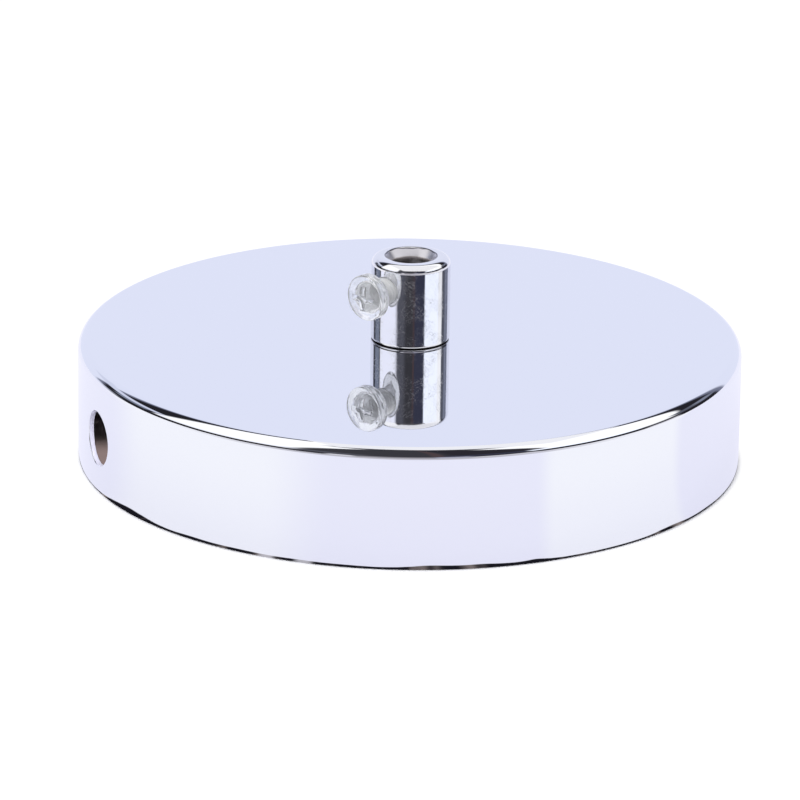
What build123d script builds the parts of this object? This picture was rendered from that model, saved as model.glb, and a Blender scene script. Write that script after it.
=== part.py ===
from build123d import *
import math
import os

# A ceiling canopy for a pendant light, with its cord grip and its mounting hardware.
# It is modelled as it stands on its rim. All sizes are millimetres.
# The origin is the middle of the rim circle, in the plane of the ceiling.
# +Z points away from the ceiling, and -X points out of the side hole.

# Canopy, a cup drawn from one round sheet of steel
canopy_diameter = 120.0
canopy_height = 22.2
canopy_sheet = 1.0
canopy_corner_radius = 1.9
rim_rounding = 0.65
centre_hole_clearance = 0.25
side_hole_diameter = 10.0
side_hole_height = 10.2

# Lamp thread M10x1, drawn as a plain cylinder of its outside diameter
thread_diameter = 10.0
thread_clearance = 0.03

# Nipple, the hollow threaded tube through the whole stack
nipple_length = 25.0
nipple_bore_diameter = 8.0
nipple_chamfer = 0.5

# Cord grip, turned from bar
grip_diameter = 14.3
grip_height = 15.6
grip_shoulder_radius = 1.5
grip_base_rounding = 0.6
grip_bore_diameter = 7.4
grip_mouth_diameter = 9.3
grip_mouth_depth = 1.4
grip_thread_depth = 7.2
grip_thread_chamfer = 0.5
nipple_end_gap = 0.3

# Grip screw, M5 in clear plastic, turned back far enough to leave the cord's bore free
screw_diameter = 4.9
screw_clearance = 0.06
screw_length = 7.0
screw_tip_chamfer = 0.4
screw_exposed = 3.75
screw_height = 10.55
screw_angle = 207.5
screw_head_diameter = 8.4
screw_head_side = 1.7
screw_head_crown = 1.1
screw_head_rounding = 0.5
screw_recess_length = 4.6
screw_recess_width = 1.1
screw_recess_depth = 1.5
recess_taper = 12.0

# Flat washer under the canopy's top
flat_washer_diameter = 20.0
flat_washer_sheet = 1.0
washer_clearance = 0.15

# Toothed lock washers on the lamp thread
lock_ring_diameter = 13.2
lock_tip_diameter = 17.0
lock_sheet = 0.7
lock_teeth = 12
lock_root_width = 1.7
lock_tip_width = 1.3
lock_root_depth = 0.6
tooth_twist = 16.0

# Thin hex nuts on the lamp thread, with bare thread between the canopy's and the strap's
nut_across_flats = 14.0
nut_height = 3.0
nut_corner_drop = 0.45
nut_thread_chamfer = 0.4
nut_gap = 3.2

# Mounting strap, one strip whose middle is set up from its two feet to meet its nut
strap_length = 100.0
strap_width = 18.0
strap_sheet = 1.5
strap_table_length = 42.0
strap_joggle_run = 4.5
strap_bend_radius = 1.5
strap_end_radius = 5.0
strap_rim_gap = 0.5
strap_collar_wall = 1.3
strap_collar_drop = 1.5
strap_collar_fillet = 0.5
strap_slot_length = 17.0
strap_slot_width = 4.6
strap_slot_spacing = 74.0

# Earth terminal on the strap, an M4 screw with a cup washer and a lock washer
earth_place = 14.2
earth_screw_diameter = 4.0
earth_screw_length = 8.0
earth_tip_chamfer = 0.4
earth_head_diameter = 7.6
earth_head_side = 1.5
earth_head_crown = 1.0
earth_head_rounding = 0.4
earth_recess_length = 4.0
earth_recess_width = 1.0
earth_recess_depth = 1.4
cup_head_gap = 0.5
cup_bend_radius = 0.9
cup_rim_run = 0.8
cup_rim_rise = 0.9
cup_sheet = 0.6
earth_lock_ring_diameter = 6.0
earth_lock_tip_diameter = 8.2
earth_lock_sheet = 0.5
earth_lock_teeth = 8
earth_lock_root_width = 1.3
earth_lock_tip_width = 1.0
earth_lock_root_depth = 0.4

# Radii and levels that follow from the sizes above
canopy_radius = canopy_diameter / 2
canopy_ceiling = canopy_height - canopy_sheet
thread_radius = thread_diameter / 2
tapped_radius = thread_radius + thread_clearance
washer_hole_radius = thread_radius + washer_clearance
grip_radius = grip_diameter / 2
grip_top = canopy_height + grip_height
grip_thread_roof = canopy_height + grip_thread_depth
nipple_bottom = grip_thread_roof - nipple_end_gap - nipple_length
screw_direction = Vector(1, 0, 0).rotate(Axis.Z, screw_angle)
screw_axis_point = Vector(0, 0, canopy_height + screw_height)
twist_sine = math.sin(math.radians(tooth_twist))
twist_cosine = math.cos(math.radians(tooth_twist))
lock_height = lock_root_width * twist_sine + lock_sheet * twist_cosine
earth_lock_height = earth_lock_root_width * twist_sine + earth_lock_sheet * twist_cosine
flat_washer_level = canopy_ceiling - flat_washer_sheet
canopy_lock_level = flat_washer_level - lock_height
canopy_nut_level = canopy_lock_level - nut_height
strap_nut_level = canopy_nut_level - nut_gap - nut_height
strap_table_top = strap_nut_level - lock_height
strap_table_bottom = strap_table_top - strap_sheet
strap_foot_top = strap_rim_gap + strap_sheet
cup_level = strap_table_top + earth_lock_height
earth_axis = Axis((0, earth_place, 0), (0, 0, 1))
earth_washer_hole_radius = earth_screw_diameter / 2 + washer_clearance


def toothed_washer(seat, height, sheet, hole_radius, ring_radius, tooth_outline, teeth):
    """A lock washer on the seat plane: a flat ring with outer teeth, each twisted about its own
    middle line until its edges reach the full height."""
    with BuildPart() as tooth:
        with BuildSketch(Plane.XY.rotated((tooth_twist, 0, 0)).offset(-sheet / 2)):
            with BuildLine():
                Polyline(*tooth_outline, close=True)
            make_face()
        extrude(amount=sheet)
    with BuildPart(seat.offset(height / 2)) as washer:
        with BuildSketch(seat.offset(height / 2 - sheet / 2)):
            Circle(ring_radius)
            Circle(hole_radius, mode=Mode.SUBTRACT)
        extrude(amount=sheet)
        with PolarLocations(0, teeth):
            add(tooth.part)
    return washer.part


def tooth_points(root_radius, ring_radius, tip_radius, root_width, tip_width):
    """The outline of one tooth along +X, from inside its ring to its narrower tip."""
    return [
        (root_radius, -root_width / 2),
        (ring_radius, -root_width / 2),
        (tip_radius, -tip_width / 2),
        (tip_radius, tip_width / 2),
        (ring_radius, root_width / 2),
        (root_radius, root_width / 2),
    ]


def thin_nut(level):
    """A hex nut on the lamp thread that stands on the level, its corners turned off on both faces."""
    corner_radius = nut_across_flats / 2 / math.cos(math.radians(30))
    with BuildPart() as nut:
        with BuildSketch(Plane.XY.offset(level)):
            RegularPolygon(nut_across_flats / 2, 6, major_radius=False)
        extrude(amount=nut_height)
        with BuildSketch(Plane.XZ):
            with BuildLine():
                Polyline(
                    (tapped_radius + nut_thread_chamfer, level),
                    (nut_across_flats / 2, level),
                    (corner_radius, level + nut_corner_drop),
                    (corner_radius, level + nut_height - nut_corner_drop),
                    (nut_across_flats / 2, level + nut_height),
                    (tapped_radius + nut_thread_chamfer, level + nut_height),
                    (tapped_radius, level + nut_height - nut_thread_chamfer),
                    (tapped_radius, level + nut_thread_chamfer),
                    close=True,
                )
            make_face()
        revolve(axis=Axis.Z, mode=Mode.INTERSECT)
    return nut.part


def pan_screw(seat, radius, length, tip_chamfer, head_radius, side, crown, rounding, recess):
    """A pan head screw with a cross recess. Its head stands on the seat plane, along the plane's
    normal, and its shank runs the other way. recess is the cross's length, width and depth."""
    recess_length, recess_width, recess_depth = recess
    with BuildPart() as screw:
        with BuildSketch(Plane(seat.origin, x_dir=seat.x_dir, z_dir=-seat.y_dir)):
            with BuildLine():
                Polyline(
                    (head_radius, side),
                    (head_radius, 0),
                    (radius, 0),
                    (radius, tip_chamfer - length),
                    (radius - tip_chamfer, -length),
                    (0, -length),
                    (0, side + crown),
                )
                TangentArc((0, side + crown), (head_radius, side), tangent=(1, 0))
            make_face()
            fillet(vertices().group_by(Axis.X)[-1].sort_by(Axis.Y)[-1], rounding)
        revolve(axis=Axis(seat.origin, seat.z_dir))
        with BuildSketch(seat.offset(side + crown)):
            Rectangle(recess_length, recess_width)
            Rectangle(recess_width, recess_length)
        extrude(amount=-recess_depth, taper=recess_taper, mode=Mode.SUBTRACT)
    return screw.part


with BuildPart() as canopy:
    with BuildSketch(Plane.XZ):
        with BuildLine():
            Polyline(
                (thread_radius + centre_hole_clearance, canopy_ceiling),
                (thread_radius + centre_hole_clearance, canopy_height),
                (canopy_radius, canopy_height),
                (canopy_radius, 0),
                (canopy_radius - canopy_sheet, 0),
                (canopy_radius - canopy_sheet, canopy_ceiling),
                close=True,
            )
        make_face()
        inner_wall = vertices().group_by(Axis.X)[-2]
        fillet(inner_wall.sort_by(Axis.Y)[-1], canopy_corner_radius - canopy_sheet)
        outer_wall = vertices().group_by(Axis.X)[-1]
        fillet(outer_wall.sort_by(Axis.Y)[-1], canopy_corner_radius)
        outer_wall = vertices().group_by(Axis.X)[-1]
        fillet(outer_wall.sort_by(Axis.Y)[0], rim_rounding)
    revolve(axis=Axis.Z)
    with BuildSketch(Plane((-canopy_radius, 0, side_hole_height), x_dir=(0, 1, 0), z_dir=(1, 0, 0))):
        Circle(side_hole_diameter / 2)
    extrude(amount=side_hole_diameter, mode=Mode.SUBTRACT)

with BuildPart() as cord_grip:
    with BuildSketch(Plane.XZ):
        with BuildLine():
            Polyline(
                (tapped_radius + grip_thread_chamfer, canopy_height),
                (grip_radius, canopy_height),
                (grip_radius, grip_top),
                (grip_mouth_diameter / 2, grip_top),
                (grip_bore_diameter / 2, grip_top - grip_mouth_depth),
                (grip_bore_diameter / 2, grip_thread_roof),
                (tapped_radius, grip_thread_roof),
                (tapped_radius, canopy_height + grip_thread_chamfer),
                close=True,
            )
        make_face()
        fillet(vertices().group_by(Axis.X)[-1].sort_by(Axis.Y)[-1], grip_shoulder_radius)
        fillet(vertices().group_by(Axis.X)[-1].sort_by(Axis.Y)[0], grip_base_rounding)
    revolve(axis=Axis.Z)
    with BuildSketch(Plane(screw_axis_point, x_dir=(0, 0, 1), z_dir=screw_direction)):
        Circle(screw_diameter / 2 + screw_clearance)
    extrude(amount=grip_diameter, mode=Mode.SUBTRACT)

with BuildPart() as nipple:
    with BuildSketch(Plane.XY.offset(nipple_bottom)):
        Circle(thread_radius)
        Circle(nipple_bore_diameter / 2, mode=Mode.SUBTRACT)
    extrude(amount=nipple_length)
    chamfer(edges().filter_by(GeomType.CIRCLE).sort_by(SortBy.RADIUS)[-2:], nipple_chamfer)

with BuildPart() as canopy_washer:
    with BuildSketch(Plane.XY.offset(flat_washer_level)):
        Circle(flat_washer_diameter / 2)
        Circle(washer_hole_radius, mode=Mode.SUBTRACT)
    extrude(amount=flat_washer_sheet)

strap_top_line = [
    (-strap_length / 2, strap_foot_top),
    (-strap_table_length / 2 - strap_joggle_run, strap_foot_top),
    (-strap_table_length / 2, strap_table_top),
    (strap_table_length / 2, strap_table_top),
    (strap_table_length / 2 + strap_joggle_run, strap_foot_top),
    (strap_length / 2, strap_foot_top),
]
strap_outer_bend = strap_bend_radius + strap_sheet
strap_bends = [strap_bend_radius, strap_outer_bend, strap_outer_bend, strap_bend_radius]

with BuildPart() as mounting_strap:
    with BuildSketch(Plane.YZ):
        with BuildLine():
            FilletPolyline(*strap_top_line, radius=strap_bends)
            offset(amount=strap_sheet, side=Side.RIGHT)
        make_face()
    extrude(amount=strap_width / 2, both=True)
    fillet(edges().filter_by(Axis.Z), strap_end_radius)
    with BuildSketch(Plane.XY.offset(strap_table_bottom)):
        Circle(tapped_radius + strap_collar_wall)
    extrude(amount=-strap_collar_drop)
    fillet(edges(Select.LAST).group_by(Axis.Z)[-1], strap_collar_fillet)
    with BuildSketch(Plane.XY.offset(strap_table_top)):
        Circle(tapped_radius)
        with Locations((0, earth_place)):
            Circle(earth_screw_diameter / 2 + thread_clearance)
    extrude(amount=-strap_sheet - strap_collar_drop, mode=Mode.SUBTRACT)
    with BuildSketch(Plane.XY.offset(strap_foot_top)):
        with GridLocations(1, strap_slot_spacing, 1, 2):
            SlotOverall(strap_slot_length, strap_slot_width, rotation=90)
    extrude(amount=-strap_sheet, mode=Mode.SUBTRACT)

with BuildPart() as earth_cup_washer:
    cup_flat_radius = earth_head_diameter / 2 + cup_head_gap
    with BuildSketch(Plane.XZ.offset(-earth_place)):
        with BuildLine():
            FilletPolyline(
                (earth_washer_hole_radius, cup_level),
                (cup_flat_radius, cup_level),
                (cup_flat_radius + cup_rim_run, cup_level + cup_rim_rise),
                radius=cup_bend_radius,
            )
            offset(amount=cup_sheet, side=Side.LEFT)
        make_face()
    revolve(axis=earth_axis)

lock_outline = tooth_points(
    lock_ring_diameter / 2 - lock_root_depth,
    lock_ring_diameter / 2,
    lock_tip_diameter / 2,
    lock_root_width,
    lock_tip_width,
)
earth_lock_outline = tooth_points(
    earth_lock_ring_diameter / 2 - earth_lock_root_depth,
    earth_lock_ring_diameter / 2,
    earth_lock_tip_diameter / 2,
    earth_lock_root_width,
    earth_lock_tip_width,
)
lock_sizes = (lock_height, lock_sheet, washer_hole_radius, lock_ring_diameter / 2)
earth_lock_sizes = (
    earth_lock_height,
    earth_lock_sheet,
    earth_washer_hole_radius,
    earth_lock_ring_diameter / 2,
)
canopy_lock_washer = toothed_washer(
    Plane.XY.offset(canopy_lock_level), *lock_sizes, lock_outline, lock_teeth
)
strap_lock_washer = toothed_washer(
    Plane.XY.offset(strap_table_top), *lock_sizes, lock_outline, lock_teeth
)
earth_lock_washer = toothed_washer(
    Plane((0, earth_place, strap_table_top)), *earth_lock_sizes, earth_lock_outline, earth_lock_teeth
)

canopy_nut = thin_nut(canopy_nut_level)
strap_nut = thin_nut(strap_nut_level)

grip_screw = pan_screw(
    Plane(
        screw_axis_point + screw_direction * (grip_radius + screw_exposed),
        x_dir=(0, 0, 1),
        z_dir=screw_direction,
    ),
    screw_diameter / 2,
    screw_length,
    screw_tip_chamfer,
    screw_head_diameter / 2,
    screw_head_side,
    screw_head_crown,
    screw_head_rounding,
    (screw_recess_length, screw_recess_width, screw_recess_depth),
)
earth_screw = pan_screw(
    Plane((0, earth_place, cup_level + cup_sheet)),
    earth_screw_diameter / 2,
    earth_screw_length,
    earth_tip_chamfer,
    earth_head_diameter / 2,
    earth_head_side,
    earth_head_crown,
    earth_head_rounding,
    (earth_recess_length, earth_recess_width, earth_recess_depth),
)

pieces = {
    "canopy": canopy.part,
    "cord_grip": cord_grip.part,
    "grip_screw": grip_screw,
    "nipple": nipple.part,
    "canopy_washer": canopy_washer.part,
    "canopy_lock_washer": canopy_lock_washer,
    "canopy_nut": canopy_nut,
    "mounting_strap": mounting_strap.part,
    "strap_lock_washer": strap_lock_washer,
    "strap_nut": strap_nut,
    "earth_screw": earth_screw,
    "earth_cup_washer": earth_cup_washer.part,
    "earth_lock_washer": earth_lock_washer,
}

os.makedirs("parts", exist_ok=True)
for name, piece in pieces.items():
    piece.label = name
    export_step(piece, f"parts/{name}.step")
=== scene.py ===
# %% [markdown]
# This lesson dresses a chrome ceiling canopy, the cover that hides the wiring of a pendant light.
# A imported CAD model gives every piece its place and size, and this script gives each its finish.
# Polished plating has hardly any look of its own: it shows the studio. So the camera and the
# studio come first, then the plated pieces, the clear screw, and the hardware under the cover.

# %% Load the frame
import math
import bmesh
import bpy
import numpy as np
from mathutils import Matrix, Vector


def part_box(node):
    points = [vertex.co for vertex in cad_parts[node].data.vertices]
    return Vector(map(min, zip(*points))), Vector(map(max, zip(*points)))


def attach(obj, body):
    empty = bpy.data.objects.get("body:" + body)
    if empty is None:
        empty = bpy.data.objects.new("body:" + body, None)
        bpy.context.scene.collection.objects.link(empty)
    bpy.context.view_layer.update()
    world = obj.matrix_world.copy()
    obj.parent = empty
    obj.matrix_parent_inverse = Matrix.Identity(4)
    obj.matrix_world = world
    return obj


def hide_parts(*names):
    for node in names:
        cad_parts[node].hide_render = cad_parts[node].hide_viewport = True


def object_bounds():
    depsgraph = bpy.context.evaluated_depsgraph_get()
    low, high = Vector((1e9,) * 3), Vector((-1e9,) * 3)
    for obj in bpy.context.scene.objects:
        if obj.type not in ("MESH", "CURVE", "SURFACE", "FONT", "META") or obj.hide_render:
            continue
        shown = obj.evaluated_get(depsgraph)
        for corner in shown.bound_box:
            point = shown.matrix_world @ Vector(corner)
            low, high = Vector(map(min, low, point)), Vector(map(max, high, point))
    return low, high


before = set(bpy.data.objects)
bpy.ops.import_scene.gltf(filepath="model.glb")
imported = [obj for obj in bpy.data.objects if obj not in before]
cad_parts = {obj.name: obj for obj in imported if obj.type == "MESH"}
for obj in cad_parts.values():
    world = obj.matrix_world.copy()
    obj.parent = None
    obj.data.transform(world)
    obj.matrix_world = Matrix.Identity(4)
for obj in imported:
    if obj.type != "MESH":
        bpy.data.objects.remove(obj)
cad_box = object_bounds()
mm = 0.001
print("CAD box in mm:", [[round(v / mm, 2) for v in corner] for corner in cad_box])

# %% [markdown]
# Colours are written as the hex values that a screen shows. Cycles wants linear light, so one
# function turns them over. Node trees are long to write, so one helper adds a node, gives it its
# settings, and links or sets its sockets. A Mix node's two colours are its sockets 6 and 7.

# %% Colours and nodes
def linear(hex_colour, strength=1.0):
    """The linear RGBA of a hex colour: the sRGB curve undone on each channel, times a strength."""
    channels = [int(hex_colour[i:i + 2], 16) / 255 for i in (1, 3, 5)]
    light = [c / 12.92 if c <= 0.04045 else ((c + 0.055) / 1.055) ** 2.4 for c in channels]
    return tuple(strength * c for c in light) + (1.0,)


def node(tree, kind, sockets=None, **settings):
    """Adds a shader node, sets its attributes and fills its sockets. A socket takes a value, an
    output, or another node, of which the first live output is meant."""
    made = tree.nodes.new("ShaderNode" + kind)
    for name, value in settings.items():
        setattr(made, name, value)
    for name, value in (sockets or {}).items():
        if isinstance(value, bpy.types.Node):
            value = next(output for output in value.outputs if output.enabled)
        if isinstance(value, bpy.types.NodeSocket):
            tree.links.new(value, made.inputs[name])
        else:
            made.inputs[name].default_value = value
    return made


# %% [markdown]
# Everything painted here has soft edges. At an edge a share goes smoothly from 0 to 1 while some
# number goes from start to stop, and the shares of several edges are multiplied. A window has
# two edges, so it is 1 between two values and 0 outside.

# %% Soft edges
def slopes(tree, value, *edges, top=1.0):
    """top times smoothstep((value - start) / (stop - start)) for each edge (start, stop)."""
    for start, stop in edges:
        sockets = {"Value": value, "From Min": start, "From Max": stop, "To Max": top}
        top = node(tree, "MapRange", sockets, interpolation_type="SMOOTHSTEP")
    return top


def window(tree, value, low, high, soft, top=1.0):
    """The slopes up round low and down round high, each soft wide."""
    half = soft / 2
    return slopes(tree, value, (low - half, low + half), (high + half, high - half), top=top)


# %% [markdown]
# The camera stands far off with a long lens, as product photographers do, so the round cover
# stays a true ellipse. Its height, its distance and its small turns were found by fitting the
# cover's outline and the cord grip to the photograph. The view is turned a little from the
# cover's own axes, because the side hole and the screw both show.

# %% Camera
view_azimuth = math.radians(-22.5)
view_elevation = math.radians(19.893)
view_distance = 1085.4 * mm
look_down = math.radians(19.388)
look_aside = math.radians(-0.093)
camera_roll = math.radians(0.776)


def turned(x, y, z):
    """A direction of the photograph's frame, turned about Z into the part's frame."""
    cosine, sine = math.cos(view_azimuth), math.sin(view_azimuth)
    return np.array([x * cosine - y * sine, x * sine + y * cosine, z])


forward = turned(
    math.sin(look_aside) * math.cos(look_down),
    math.cos(look_aside) * math.cos(look_down),
    -math.sin(look_down),
)
level_right = np.cross(forward, (0, 0, 1))
level_right /= np.linalg.norm(level_right)
level_up = np.cross(level_right, forward)
pose = np.eye(4)
pose[:3, 0] = math.cos(camera_roll) * level_right + math.sin(camera_roll) * level_up
pose[:3, 1] = math.cos(camera_roll) * level_up - math.sin(camera_roll) * level_right
pose[:3, 2] = -forward
pose[:3, 3] = view_distance * turned(0, -math.cos(view_elevation), math.sin(view_elevation))

camera = bpy.data.objects.new("camera", bpy.data.cameras.new("camera"))
camera.data.sensor_width = 36.0
camera.data.lens = 268.12
camera.data.clip_end = 20.0
camera.matrix_world = Matrix(pose.tolist())
bpy.context.collection.objects.link(camera)
bpy.context.scene.camera = camera
bpy.context.scene.view_settings.view_transform = "Standard"
print("camera at", np.round(pose[:3, 3], 3))

# %% [markdown]
# The studio is what the chrome shows, so most of the look is made here. It could be modelled as
# lamps, screens and walls. Painting it on the world is simpler: each light or dark thing is a
# soft-edged patch in two angles, the azimuth from the camera's side and the elevation. First the
# shader needs these angles of the ray it is asked about.

# %% Angles of a ray
def in_photo_frame(tree, direction):
    """The direction turned into the photograph's frame, its parts across, away and up, and its
    azimuth from the camera's side in degrees: atan2(across, -away)."""
    direction = node(
        tree, "VectorRotate", {"Vector": direction, "Angle": -view_azimuth}, rotation_type="Z_AXIS")
    parts = node(tree, "SeparateXYZ", {0: direction}).outputs
    toward = node(tree, "Math", {0: parts["Y"], 1: -1.0}, operation="MULTIPLY")
    azimuth = node(tree, "Math", {0: parts["X"], 1: toward}, operation="ARCTAN2")
    return direction, parts, node(tree, "Math", {0: azimuth}, operation="DEGREES")


world = bpy.data.worlds.new("studio")
bpy.context.scene.world = world
world.use_nodes = True
sky = world.node_tree
sky.nodes.clear()
_, parts, azimuth = in_photo_frame(sky, node(sky, "TexCoord").outputs["Generated"])
from_back = node(sky, "Math", {0: parts["X"], 1: parts["Y"]}, operation="ARCTAN2")
from_back = node(sky, "Math", {0: from_back}, operation="DEGREES")
elevation = node(sky, "Math", {0: parts["Z"]}, operation="ARCSINE")
elevation = node(sky, "Math", {0: elevation}, operation="DEGREES")


def panel(under, colour, azimuths, elevations, soft):
    """The colour under, covered by a soft-edged patch between two azimuths and two elevations.
    soft is how wide its edges are aside and upward. All are degrees."""
    share = window(sky, azimuth, *azimuths, soft[0])
    share = window(sky, elevation, *elevations, soft[1], top=share)
    return node(sky, "Mix", {0: share, 6: under, 7: colour}, data_type="RGBA")


def arch(under, colour, middle, half_width, rise, soft):
    """The colour under, covered by an arch behind the object: where the cubes of (azimuth -
    middle) / half width and of elevation / rise add up to less than 1. Its left side is a little
    higher than its right."""
    lean = 0.115
    wide = node(sky, "Math", {0: from_back, 1: middle}, operation="SUBTRACT")
    wide = node(sky, "Math", {0: wide, 1: half_width}, operation="DIVIDE")
    high = node(sky, "Math", {0: from_back, 1: lean, 2: elevation}, operation="MULTIPLY_ADD")
    high = node(sky, "Math", {0: high, 1: rise}, operation="DIVIDE")
    cubes = 0.0
    for side in (wide, high):
        side = node(sky, "Math", {0: side}, operation="ABSOLUTE")
        side = node(sky, "Math", {0: side, 1: 3.0}, operation="POWER")
        cubes = node(sky, "Math", {0: side, 1: cubes}, operation="ADD")
    share = slopes(sky, cubes, (1 + soft, 1 - soft))
    return node(sky, "Mix", {0: share, 6: under, 7: colour}, data_type="RGBA")


# %% [markdown]
# The rounded edge between the cover's top and wall mirrors nearly the whole room in a strip a few
# pixels high, and its light and dark lines say what stood there: a large soft light on each side,
# a dark gap between them over the camera and overhead, and a pale blue backdrop behind with a
# dark arch round it.

# %% Room
dark_room = linear("#3E3E43")
white_light = linear("#FFFFFF", 1.25)
backdrop_blue = linear("#E9EDFF", 1.04)
pale_grey = linear("#E4E2EA")
near_black = linear("#26252B")
brown_edge = linear("#544648")

room_panels = [
    (white_light, (-190, -40), (14, 77), (7, 7)),
    (white_light, (49, 190), (16, 73), (5, 7)),
    (pale_grey, (20, 190), (-20, 5), (6, 5)),
    (near_black, (-97, -42), (-1, 13), (5, 4)),
    (linear("#2F2D34"), (14, 46), (10, 80), (8, 10)),
    (near_black, (44, 88), (1.5, 17), (6, 4)),
]
room_arches = [
    (near_black, -3, 80, 51, 0.08),
    (linear("#7D8196"), 0, 52, 43, 0.12),
    (backdrop_blue, 0, 47, 39, 0.12),
]
seen = dark_room
for patch in room_panels:
    seen = panel(seen, *patch)
for patch in room_arches:
    seen = arch(seen, *patch)
print("panels and arches of the room:", len(room_panels) + len(room_arches))

# %% [markdown]
# The upright wall of the cord grip, seen from 20 degrees above, mirrors only a low belt of the
# room, from 15 to 26 degrees of elevation. So its light and dark stripes are set by panels in
# that belt, one for each stripe, which the rounded edge of the cover shows as no more than a
# hairline. The last panel is a pale streak over the others at the back left. Panels that begin
# below the horizon leave no gap over the table's far edge.

# %% Belt that the cord grip mirrors
belt_panels = [
    (linear("#838B9D"), (-124, -102), (15, 23), (4, 3)),
    (backdrop_blue, (-190, -120), (-20, 6), (20, 8)),
    (linear("#99969C"), (-17, 9), (-20, 11), (5, 7)),
    (linear("#B4B3C4"), (9, 21), (-20, 12), (4, 7)),
    (pale_grey, (-27, -18), (-20, 9), (4, 5)),
    (brown_edge, (8, 12), (24, 80), (3, 10)),
    (linear("#F1F3FF", 1.27), (-97, -38), (17, 23), (5, 3)),
    (linear("#5C5D66"), (-40, -16), (15, 25), (14, 4)),
    (linear("#3D3F50"), (12, 42), (15, 25), (6, 4)),
    (brown_edge, (8, 12), (15, 25), (3, 4)),
    (linear("#F0F5FF", 1.45), (42, 88), (16, 24), (4, 3)),
    (linear("#5E616D"), (104, 118), (15, 25), (5, 4)),
    (linear("#878C9E"), (118, 131), (15, 25), (8, 4)),
    (near_black, (-131, -122), (15, 25), (4, 4)),
    (linear("#DCE1F5"), (-150, -99), (22.5, 31), (6, 2)),
]
for patch in belt_panels:
    seen = panel(seen, *patch)

# %% [markdown]
# Two kinds of ray don't see the painted room. What the camera sees past the table is plain white,
# as a product photograph's background is. What is seen through the clear plastic is pale all
# round, because a small clear screw in a bright studio gathers light from every side.

# %% Background
light_path = node(sky, "LightPath").outputs
plain = {"Is Transmission Ray": linear("#F6F8FF", 1.1), "Is Camera Ray": linear("#FFFFFF")}
for kind, colour in plain.items():
    seen = node(sky, "Mix", {0: light_path[kind], 6: seen, 7: colour}, data_type="RGBA")
background = node(sky, "Background", {"Color": seen, "Strength": 1.0})
node(sky, "OutputWorld", {"Surface": background})
print("world nodes:", len(sky.nodes))

# %% [markdown]
# The floor is a plain white table, a mesh of one round face. It and every other surface here go
# through one function, which merges double points and turns the faces outwards.

# %% Floor
def grid_object(name, points, blocks, smooth=True):
    """A mesh object from an array of points and a list of arrays of faces."""
    mesh = bpy.data.meshes.new(name)
    faces = [face for block in blocks for face in np.asarray(block).tolist()]
    mesh.from_pydata(points.tolist(), [], faces)
    shape = bmesh.new()
    shape.from_mesh(mesh)
    bmesh.ops.remove_doubles(shape, verts=shape.verts, dist=1e-7)
    bmesh.ops.recalc_face_normals(shape, faces=shape.faces)
    shape.to_mesh(mesh)
    shape.free()
    mesh.polygons.foreach_set("use_smooth", np.full(len(mesh.polygons), smooth))
    made = bpy.data.objects.new(name, mesh)
    bpy.context.collection.objects.link(made)
    print(name, "has", len(mesh.vertices), "points and", len(mesh.polygons), "faces")
    return made


def new_material(name):
    """A new material and its node tree, emptied."""
    made = bpy.data.materials.new(name)
    made.use_nodes = True
    made.node_tree.nodes.clear()
    return made, made.node_tree


floor_radius = 4.0
floor_corners = 96
floor_turns = np.linspace(0, 2 * np.pi, floor_corners, endpoint=False)
floor_points = np.stack([np.cos(floor_turns), np.sin(floor_turns), 0 * floor_turns], axis=1)
floor_face = np.arange(floor_corners)[None]
floor = grid_object("studio_floor", floor_points * floor_radius, [floor_face], smooth=False)

# %% [markdown]
# White table paint, matt. To the camera most of its colour is a light of its own, so the
# background stays white without more light on the object. From the rim inwards that glow stops,
# so the paint there keeps the contact shadow.

# %% Table paint
rim_radius = cad_box[1][0]
paint, tree = new_material("white_table_paint")
place, _, bearing = in_photo_frame(tree, node(tree, "TexCoord").outputs["Object"])
reach = node(tree, "VectorMath", {0: place}, operation="LENGTH")
from_rim = node(tree, "Math", {0: reach, 1: rim_radius}, operation="SUBTRACT")
ray = node(tree, "LightPath").outputs
to_eye = ray["Is Camera Ray"]
to_mirror = {0: ray["Is Glossy Ray"], 1: ray["Is Transmission Ray"]}
to_mirror = node(tree, "Math", to_mirror, operation="MAXIMUM")

matt = node(tree, "BsdfDiffuse", {"Color": linear("#F2F2F6")})
white_glow = node(tree, "Emission", {"Color": linear("#FFFFFF", 1.06), "Strength": 1.0})
beyond_rim = slopes(tree, reach, (rim_radius - 0.3 * mm, rim_radius + 0.9 * mm), top=0.9)
for_eye = node(tree, "Math", {0: to_eye, 1: beyond_rim}, operation="MULTIPLY")
surface = node(tree, "MixShader", {0: for_eye, 1: matt, 2: white_glow})

# %% [markdown]
# The cover's wall is a mirror too, and it shows the table. The table was not evenly lit: the
# mirror shows two paler sides, a faint dip close to the rim, and, past the table's near edge, a
# light grey. A floor point at bearing b and reach r shows where the wall's own bearing is about
# b * r / (2 r - R), with R the rim's radius, so the paler sides are laid out by that angle.

# %% What the wall mirrors
doubled = node(tree, "Math", {0: reach, 1: 2.0, 2: -rim_radius}, operation="MULTIPLY_ADD")
spread = node(tree, "Math", {0: reach, 1: doubled}, operation="DIVIDE")
wall_bearing = node(tree, "Math", {0: bearing, 1: spread}, operation="MULTIPLY")
right_side = window(tree, wall_bearing, 24, 55, 4)
left_side = window(tree, wall_bearing, -60, -19, 14)
sides = node(tree, "Math", {0: right_side, 1: left_side}, operation="ADD")
near_rim = slopes(tree, reach, (rim_radius + 45 * mm, rim_radius), top=0.3)
past_table = slopes(tree, reach, (120 * mm, 165 * mm), top=ray["Is Glossy Ray"])
past_table = window(tree, bearing, -52, 52, 60, top=past_table)

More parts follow.
